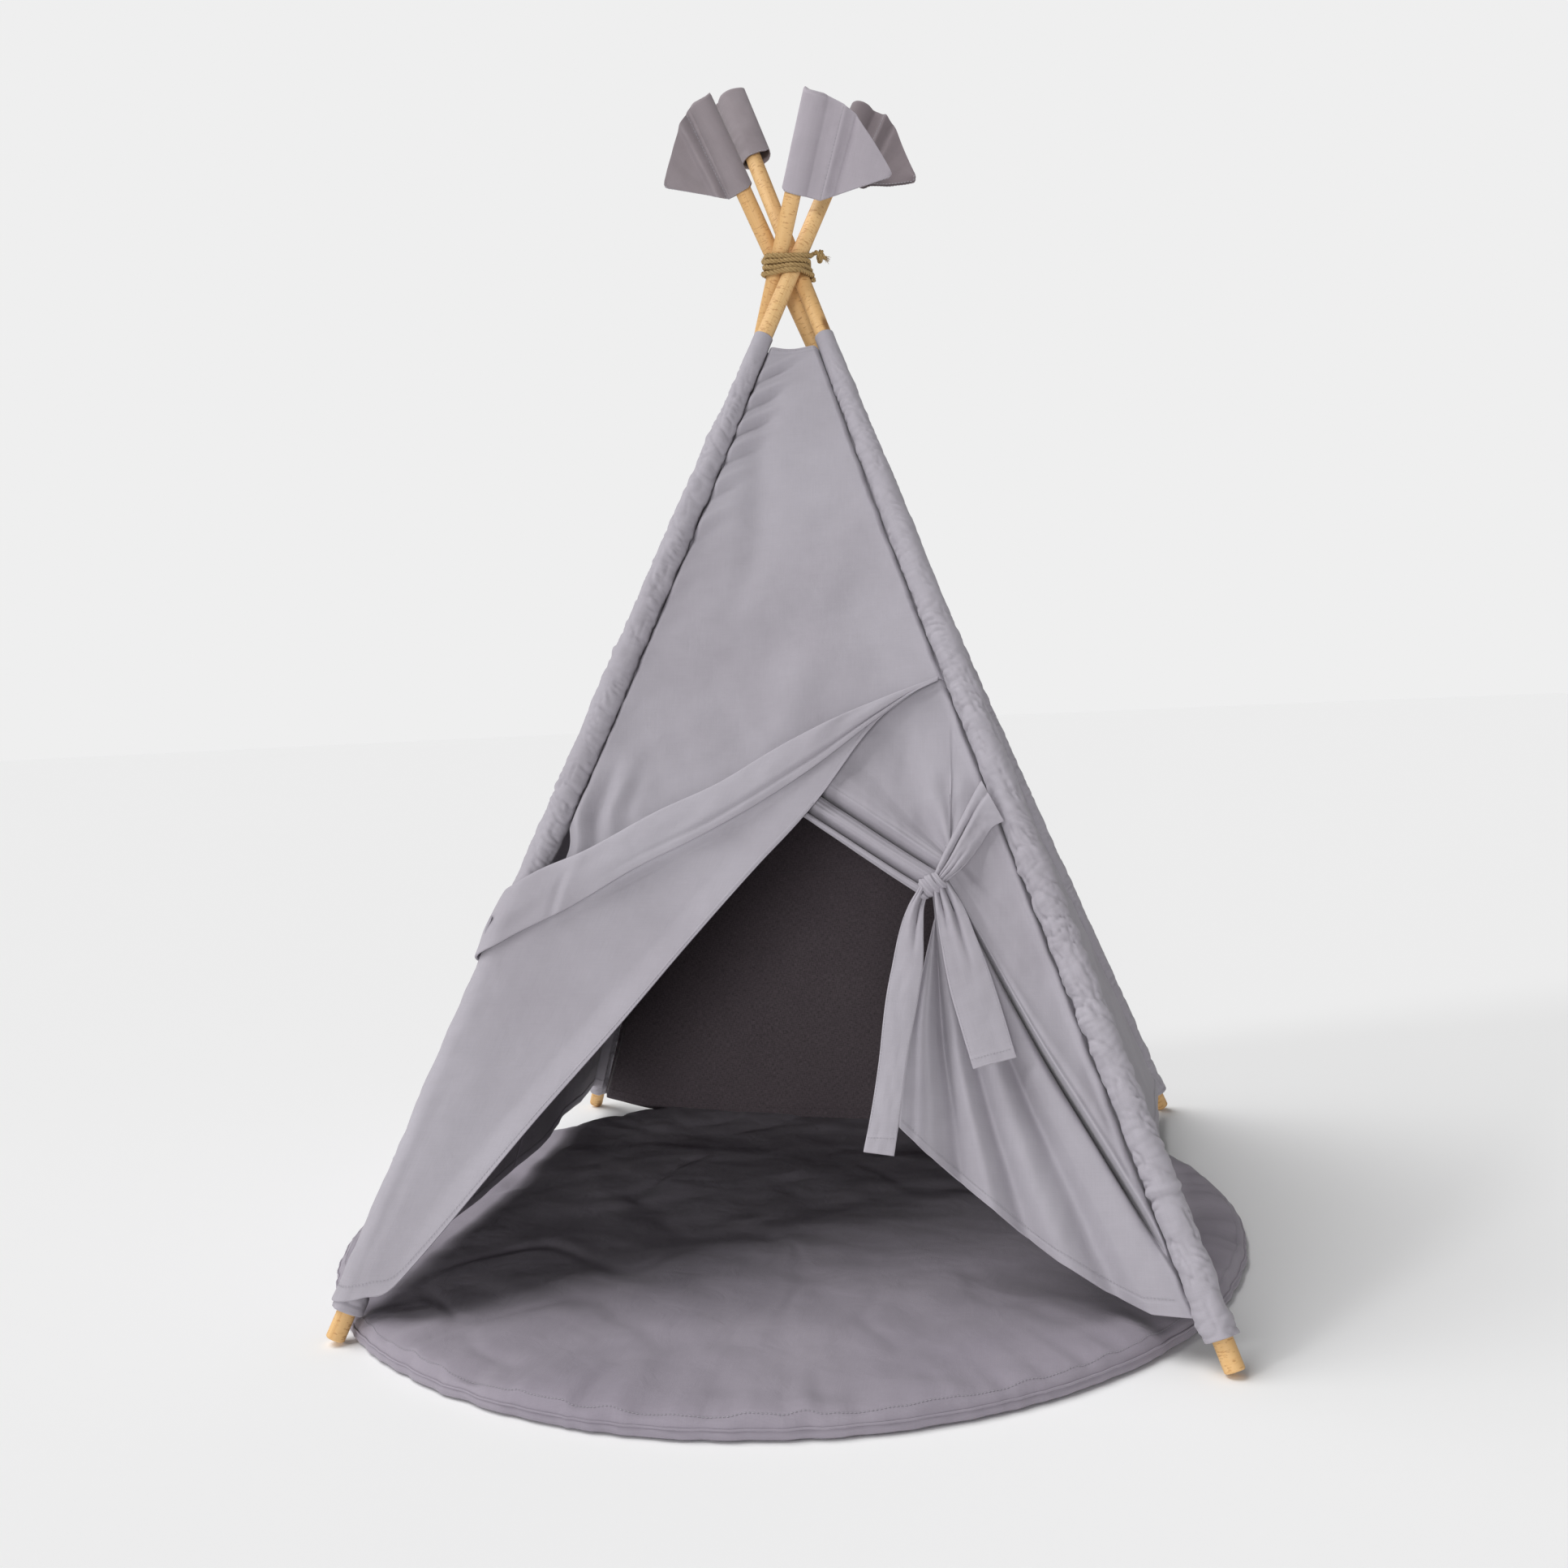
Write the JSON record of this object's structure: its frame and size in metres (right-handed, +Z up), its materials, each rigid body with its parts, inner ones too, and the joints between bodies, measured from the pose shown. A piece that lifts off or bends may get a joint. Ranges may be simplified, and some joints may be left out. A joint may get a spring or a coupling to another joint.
{
  "type": "teepee tent",
  "caption": "Pyramid play tent on lashed round poles, with a cloth cover on pole sleeves, door flaps tied open, pole-top flags and a round padded floor mat.",
  "frame": {"origin": "centre of the square between the four pole feet, on the floor, straight under the lashing", "axes": "+Z up; +X to the right as seen from outside the doorway; the doorway faces -Y"},
  "size_m": [1.2698, 1.2737, 1.7163],
  "materials": {
    "cover_cloth": "matte light grey cotton, plain weave",
    "back_cloth": "matte charcoal melange linen weave",
    "mat_cloth": "matte light grey cotton over wadding",
    "filling": "loose polyester wadding",
    "pole_wood": "satin clear-coated beech",
    "rope": "rough twisted jute"
  },
  "bodies": {
    "front_frame": {"pole_front_left": "pole_wood", "pole_front_right": "pole_wood", "sleeve_front_left": "cover_cloth", "sleeve_front_right": "cover_cloth", "front_panel": "cover_cloth", "left_door_flap": "cover_cloth", "left_flap_wrap": "cover_cloth", "right_door_flap": "cover_cloth", "right_tie_band": "cover_cloth", "right_tie_knot": "cover_cloth", "left_tie_band": "cover_cloth", "left_tie_knot": "cover_cloth", "left_panel": "cover_cloth", "right_panel": "cover_cloth", "lashing_rope": "rope", "lashing_knot": "rope", "mat_underside": "mat_cloth", "mat_top_cover": "mat_cloth", "mat_filling": "filling"},
    "back_frame": {"pole_back_left": "pole_wood", "pole_back_right": "pole_wood", "sleeve_back_left": "cover_cloth", "sleeve_back_right": "cover_cloth", "back_panel": "back_cloth"},
    "flag_front_left": {"flag_front_left": "cover_cloth"},
    "flag_front_right": {"flag_front_right": "cover_cloth"},
    "flag_back_left": {"flag_back_left": "cover_cloth"},
    "flag_back_right": {"flag_back_right": "cover_cloth"},
    "right_tail_outer": {"right_tie_tail_outer": "cover_cloth"},
    "right_tail_inner": {"right_tie_tail_inner": "cover_cloth"},
    "left_tail_front": {"left_tie_tail_front": "cover_cloth"},
    "left_tail_back": {"left_tie_tail_back": "cover_cloth"}
  },
  "joints": [
    {"name": "frame_fold", "type": "hinge", "parent": "front_frame", "child": "back_frame", "pos_m": [0, 0, 1.4], "axis": [-1, 0, 0], "range_deg": [0, 34], "deforming": ["left_panel", "right_panel", "mat_underside", "mat_top_cover", "mat_filling", "lashing_rope", "lashing_knot"]},
    {"name": "flag_front_left_pull", "type": "slide", "parent": "front_frame", "child": "flag_front_left", "axis": [0.3445, 0.3279, 0.8797], "range_m": [0, 0.16]},
    {"name": "flag_front_right_pull", "type": "slide", "parent": "front_frame", "child": "flag_front_right", "axis": [-0.3279, 0.3445, 0.8797], "range_m": [0, 0.16]},
    {"name": "flag_back_left_pull", "type": "slide", "parent": "back_frame", "child": "flag_back_left", "axis": [0.3279, -0.3445, 0.8797], "range_m": [0, 0.16]},
    {"name": "flag_back_right_pull", "type": "slide", "parent": "back_frame", "child": "flag_back_right", "axis": [-0.3445, -0.3279, 0.8797], "range_m": [0, 0.16]},
    {"name": "right_tail_outer_swing", "type": "hinge", "parent": "front_frame", "child": "right_tail_outer", "pos_m": [0.222, -0.34741, 0.5105], "axis": [-1, 0, 0], "range_deg": [0, 40]},
    {"name": "right_tail_inner_swing", "type": "hinge", "parent": "front_frame", "child": "right_tail_inner", "pos_m": [0.202, -0.35064, 0.51407], "axis": [-1, 0, 0], "range_deg": [-12, 35]},
    {"name": "left_tail_front_swing", "type": "hinge", "parent": "front_frame", "child": "left_tail_front", "pos_m": [-0.40388, -0.29873, 0.42435], "axis": [0, 1, 0], "range_deg": [0, 40]},
    {"name": "left_tail_back_swing", "type": "hinge", "parent": "front_frame", "child": "left_tail_back", "pos_m": [-0.40388, -0.27473, 0.42435], "axis": [0, 1, 0], "range_deg": [0, 40]}
  ]
}
